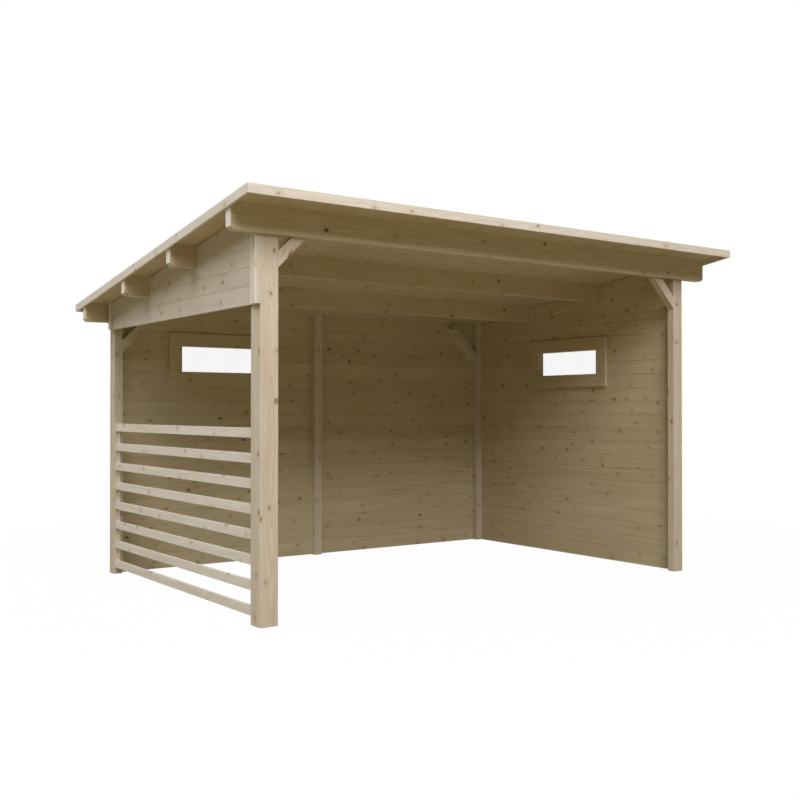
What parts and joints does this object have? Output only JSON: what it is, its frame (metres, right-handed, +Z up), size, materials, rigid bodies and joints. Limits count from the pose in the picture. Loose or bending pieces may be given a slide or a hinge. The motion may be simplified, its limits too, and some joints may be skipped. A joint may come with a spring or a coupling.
{
  "type": "garden pavilion",
  "caption": "Open timber garden shelter with a roof sloping to the back, closed back and right walls with small windows, and a slatted left side.",
  "frame": {"origin": "on the ground, below the middle of the roof's outline", "axes": "+X along the open front to the right, +Y from the front to the back, +Z up"},
  "size_m": [4.214, 2.965, 2.5288],
  "materials": {
    "frame_timber": "planed, untreated",
    "trim_timber": "planed, untreated",
    "wall_boards": "planed, untreated",
    "roof_boards": "planed, untreated",
    "window_timber": "planed, untreated",
    "roofing_felt": "matt, mineral surfaced",
    "pane": "clear"
  },
  "bodies": {
    "root": {"front_left_post": "frame_timber", "front_right_post": "frame_timber", "back_left_post": "frame_timber", "back_middle_post": "frame_timber", "back_right_post": "frame_timber", "front_purlin": "frame_timber", "second_purlin": "frame_timber", "third_purlin": "frame_timber", "back_purlin": "frame_timber", "front_left_brace": "frame_timber", "front_right_brace": "frame_timber", "back_left_brace": "frame_timber", "back_right_brace": "frame_timber", "left_gable_boards": "wall_boards", "left_gable_front_trim": "trim_timber", "left_gable_back_trim": "trim_timber", "back_wall_below_window": "wall_boards", "back_wall_left_of_window": "wall_boards", "back_wall_right_of_window": "wall_boards", "back_wall_above_window": "wall_boards", "right_wall_below_window": "wall_boards", "right_wall_front_of_window": "wall_boards", "right_wall_behind_window": "wall_boards", "right_wall_above_window": "wall_boards", "back_window_lining": "window_timber", "back_window_casing": "window_timber", "back_window_outer_casing": "window_timber", "back_window_pane": "pane", "right_window_lining": "window_timber", "right_window_casing": "window_timber", "right_window_outer_casing": "window_timber", "right_window_pane": "pane", "front_slat_cleat": "frame_timber", "back_slat_cleat": "frame_timber", "roof_deck": "roof_boards", "roof_felt": "roofing_felt", "front_fascia": "trim_timber", "back_fascia": "trim_timber", "left_fascia": "trim_timber", "right_fascia": "trim_timber", "slat_1": "trim_timber", "slat_2": "trim_timber", "slat_3": "trim_timber", "slat_4": "trim_timber", "slat_5": "trim_timber", "slat_6": "trim_timber", "slat_7": "trim_timber", "slat_8": "trim_timber"}
  },
  "joints": []
}
